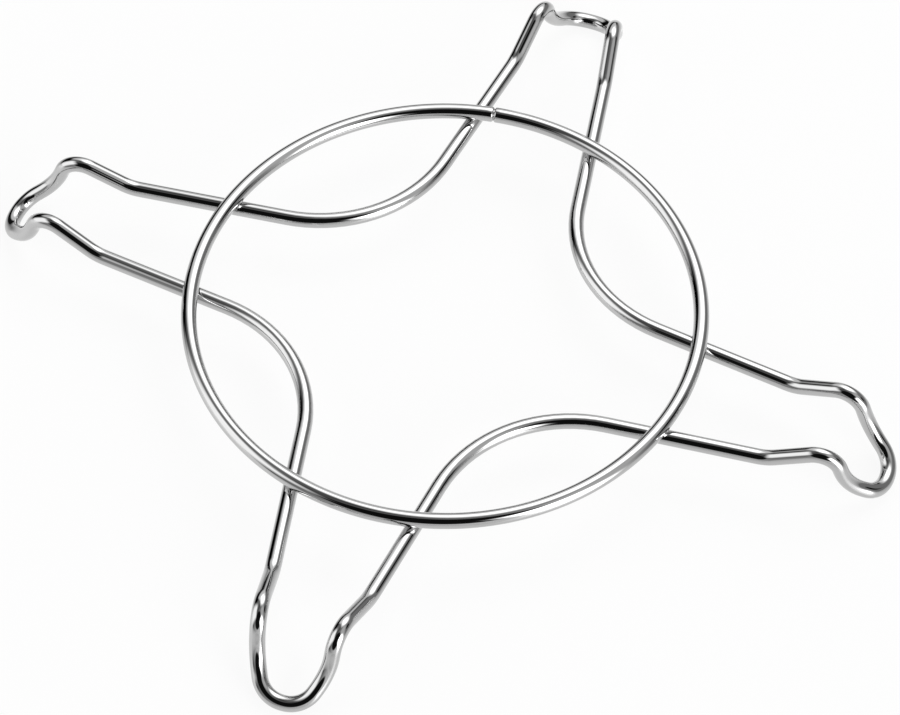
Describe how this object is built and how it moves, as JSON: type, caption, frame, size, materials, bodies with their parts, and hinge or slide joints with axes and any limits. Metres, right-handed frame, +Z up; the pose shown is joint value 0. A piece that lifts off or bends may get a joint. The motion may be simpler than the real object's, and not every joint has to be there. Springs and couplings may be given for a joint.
{
  "type": "pan support",
  "caption": "Chromed wire pan support: a ring welded on a star of looped arms that rise to a hump and drop to rounded toes, to carry a small pan on a gas hob.",
  "frame": {"origin": "on the surface that the support stands on, under the middle of the ring", "axes": "+Z up through the ring towards the pan, +X along the right arm, +Y along the back arm"},
  "size_m": [0.1807, 0.1749, 0.0148],
  "materials": {
    "chromed_wire": "bright chrome plate on round steel wire",
    "chromed_weld": "bright chrome plate over small weld collars"
  },
  "bodies": {
    "root": {"ring": "chromed_wire", "star": "chromed_wire", "ring_joint_weld": "chromed_weld", "cross_weld_1": "chromed_weld", "cross_weld_2": "chromed_weld", "cross_weld_3": "chromed_weld", "cross_weld_4": "chromed_weld", "cross_weld_5": "chromed_weld", "cross_weld_6": "chromed_weld", "cross_weld_7": "chromed_weld", "cross_weld_8": "chromed_weld"}
  },
  "joints": []
}
